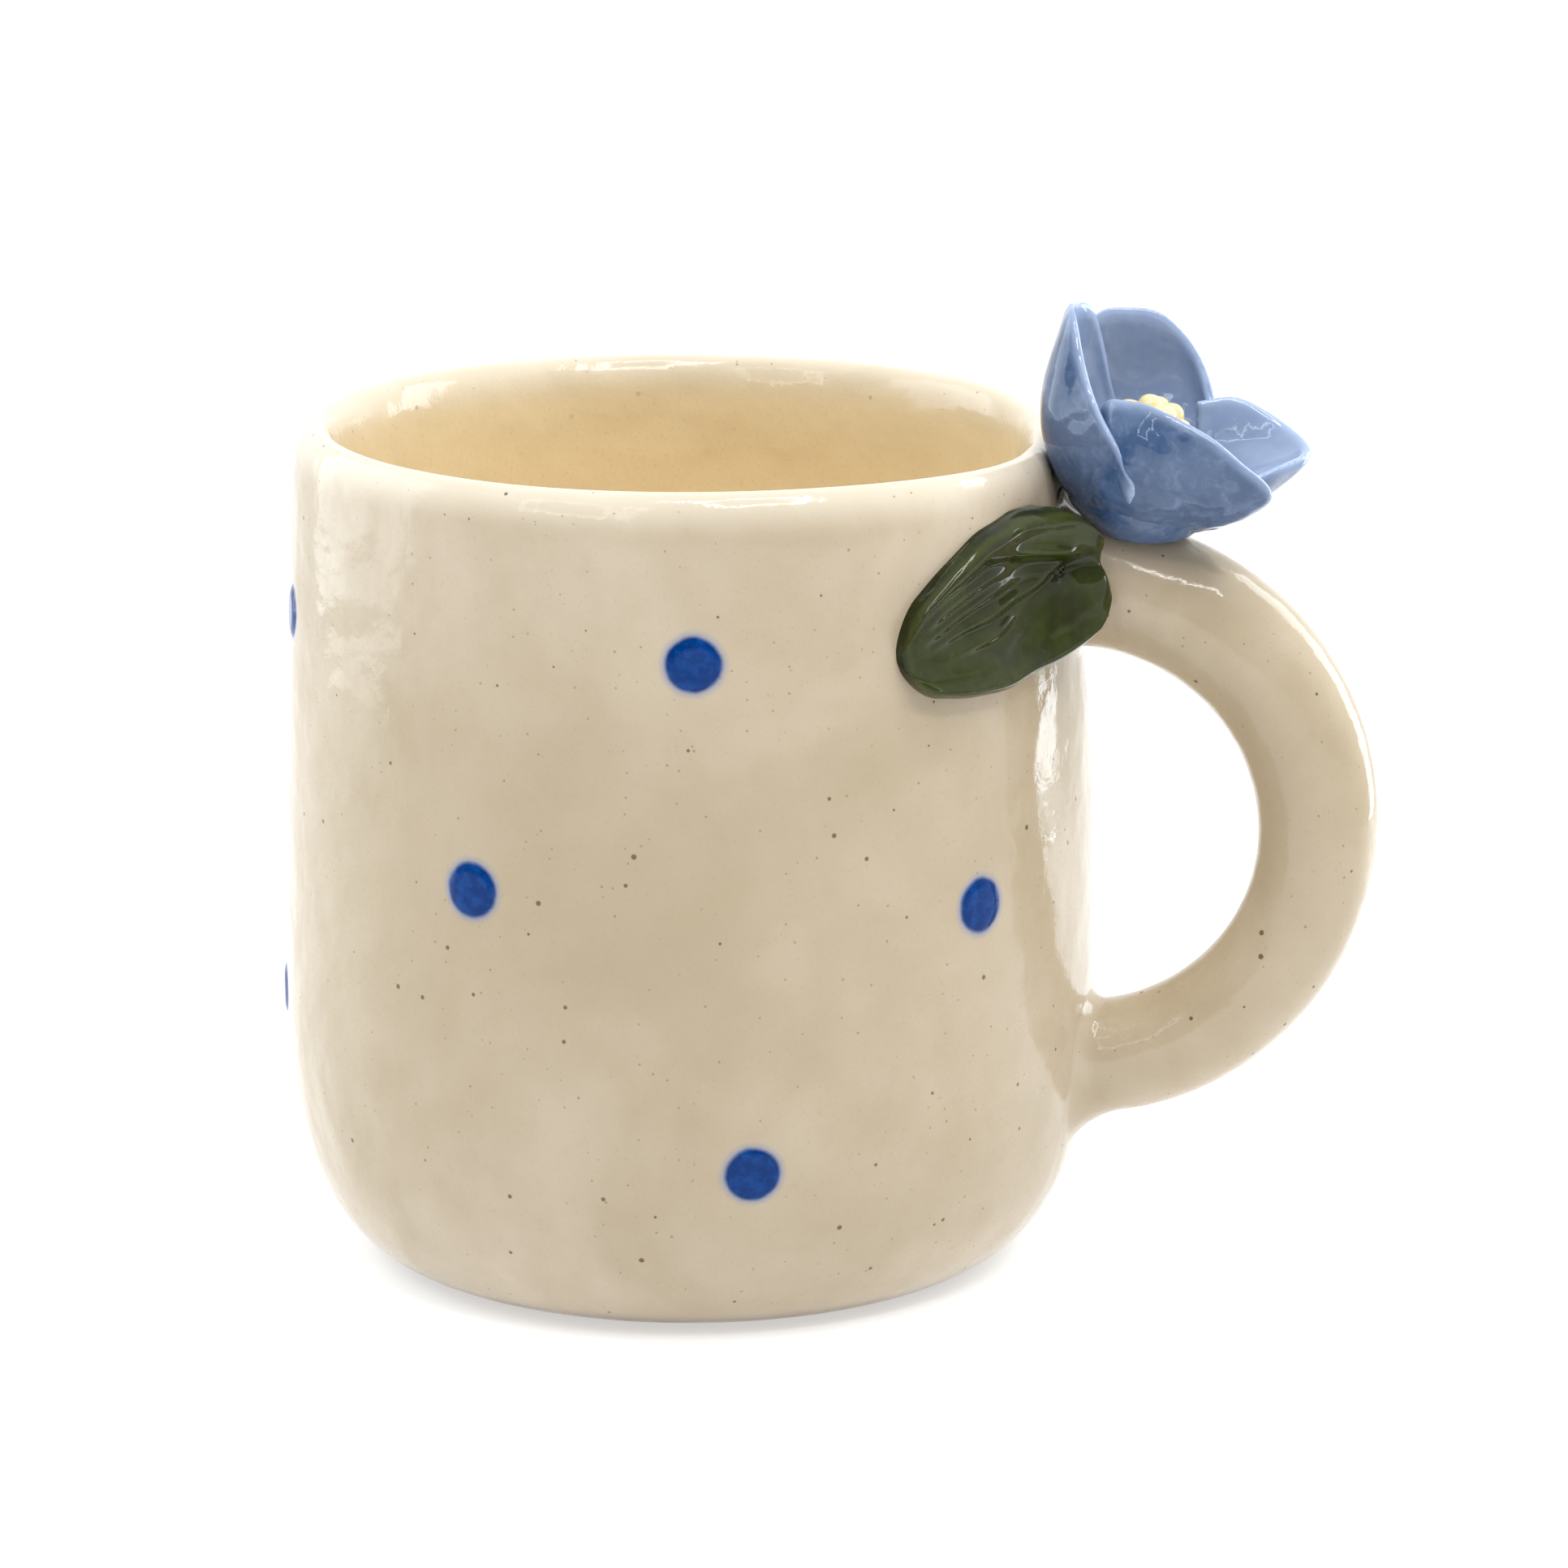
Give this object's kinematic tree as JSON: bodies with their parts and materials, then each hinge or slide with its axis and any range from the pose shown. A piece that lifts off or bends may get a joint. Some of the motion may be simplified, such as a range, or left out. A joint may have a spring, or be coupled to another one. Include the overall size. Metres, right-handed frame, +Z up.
{
  "type": "mug",
  "caption": "Cream glazed stoneware mug with raised cobalt dots, a coil ring handle, and a blue flower with two green leaves where the handle meets the rim.",
  "frame": {"origin": "centre of the foot, on the plane that the mug stands on", "axes": "+Z up along the cup's axis, +X towards the handle, +Y towards the back leaf"},
  "size_m": [0.1189, 0.0883, 0.1063],
  "materials": {
    "cream_glaze": "clear gloss over cream clay with fine iron specks",
    "cobalt_slip": "gloss, soft edge bleeding into the cream",
    "blue_glaze": "gloss, pooled darker in the hollows and thin at the edges",
    "yellow_glaze": "gloss, pale at the edges",
    "green_glaze": "high gloss dark olive"
  },
  "bodies": {
    "root": {"cup_body": "cream_glaze", "handle": "cream_glaze", "flower_seat": "blue_glaze", "petal_left": "blue_glaze", "petal_back": "blue_glaze", "petal_right": "blue_glaze", "petal_front": "blue_glaze", "flower_centre": "yellow_glaze", "leaf_front": "green_glaze", "leaf_back": "green_glaze", "glaze_dots": "cobalt_slip"}
  },
  "joints": []
}
